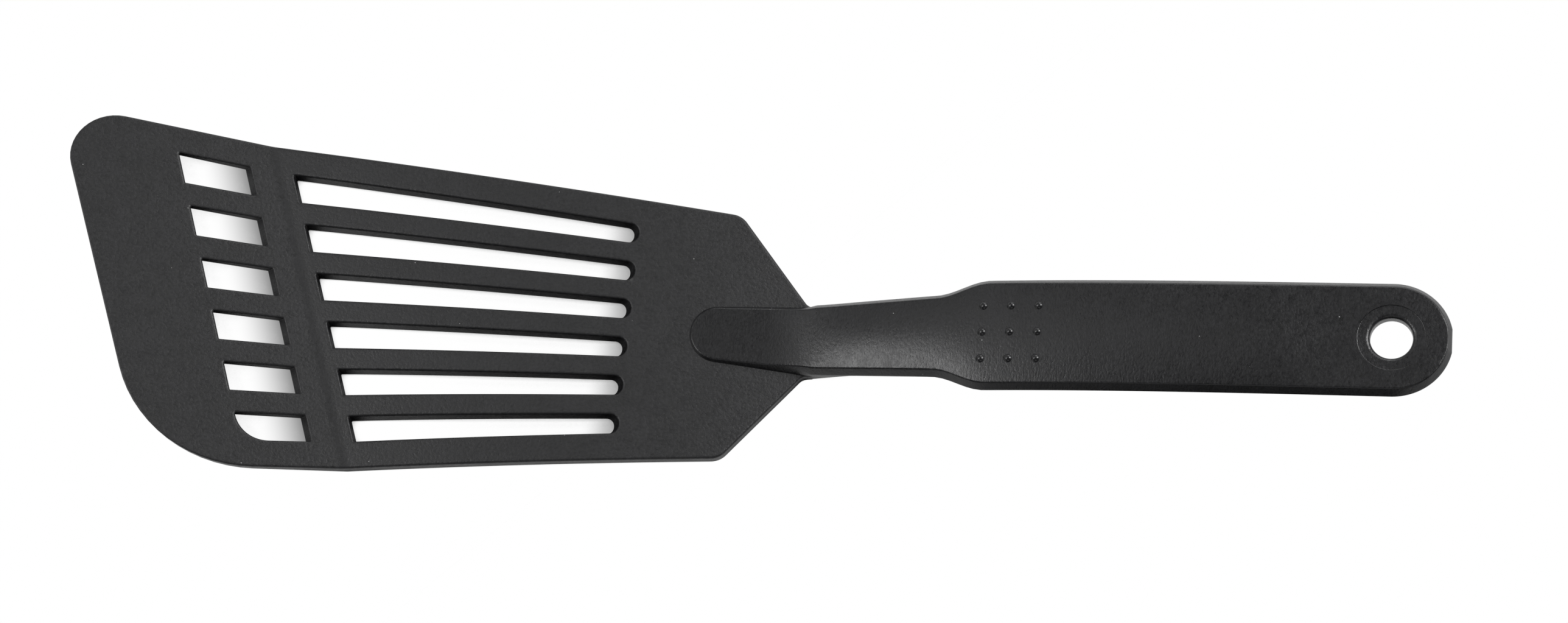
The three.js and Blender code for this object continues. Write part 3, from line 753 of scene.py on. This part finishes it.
def soft_box(name, place, size, power):
    light = bpy.data.lights.new(name, "AREA")
    light.shape = "RECTANGLE"
    light.size, light.size_y = size
    light.energy = power
    lamp = bpy.data.objects.new(name, light)
    lamp.location = place
    lamp.rotation_euler = Vector(place).to_track_quat("Z", "Y").to_euler()
    bpy.context.scene.collection.objects.link(lamp)


soft_box("left_box", place=(-0.71, 0.0, 0.84), size=(0.4, 0.4), power=3.95)
soft_box("right_box", place=(0.61, 0.35, 0.84), size=(0.4, 0.4), power=8.5)
soft_box("back_box", place=(0.12, 0.89, 0.63), size=(0.6, 0.4), power=2.6)
soft_box("tall_box", place=(-0.45, 0.47, 0.89), size=(0.3, 0.9), power=0.85)
soft_box("front_box", place=(0.05, -0.8, 0.75), size=(0.8, 0.5), power=0.9)

room = bpy.data.worlds.new("room")
room.use_nodes = True
nodes = room.node_tree.nodes
dim = set_sockets(nodes["Background"], Color=ROOM_GREY)
white = set_sockets(nodes.new("ShaderNodeBackground"), Color=ROOM_WHITE)
view = nodes.new("ShaderNodeMixShader")
link(nodes.new("ShaderNodeLightPath").outputs["Is Camera Ray"], view.inputs["Fac"])
link(dim.outputs["Background"], view.inputs[1])
link(white.outputs["Background"], view.inputs[2])
link(view.outputs["Shader"], nodes["World Output"].inputs["Surface"])
bpy.context.scene.world = room


# Camera. It looks down on the turner from the near side, 18 degrees off the vertical, as the photograph
# does. Its place and its turn were fitted to the edges of the turner in the photograph.
CAMERA_PLACE = Vector((65.95, -232.17, 748.64))
CAMERA_BACK = Vector((0.0882, -0.3043, 0.9485)).normalized()
CAMERA_UP = Vector((-0.062, 0.9487, 0.3101))
CAMERA_RIGHT = CAMERA_UP.cross(CAMERA_BACK).normalized()
FOCAL_PIXELS = 5452.4
PHOTO_WIDTH_PIXELS = 2576
SENSOR_WIDTH = 36

lens = bpy.data.cameras.new("camera")
lens.lens = SENSOR_WIDTH * FOCAL_PIXELS / PHOTO_WIDTH_PIXELS
camera = bpy.data.objects.new("camera", lens)
camera_axes = Matrix((CAMERA_RIGHT, CAMERA_BACK.cross(CAMERA_RIGHT), CAMERA_BACK)).transposed()
camera.matrix_world = Matrix.Translation(TO_FRAME @ CAMERA_PLACE) @ camera_axes.to_4x4()
bpy.context.scene.collection.objects.link(camera)
bpy.context.scene.camera = camera
bpy.context.scene.view_settings.view_transform = "Standard"
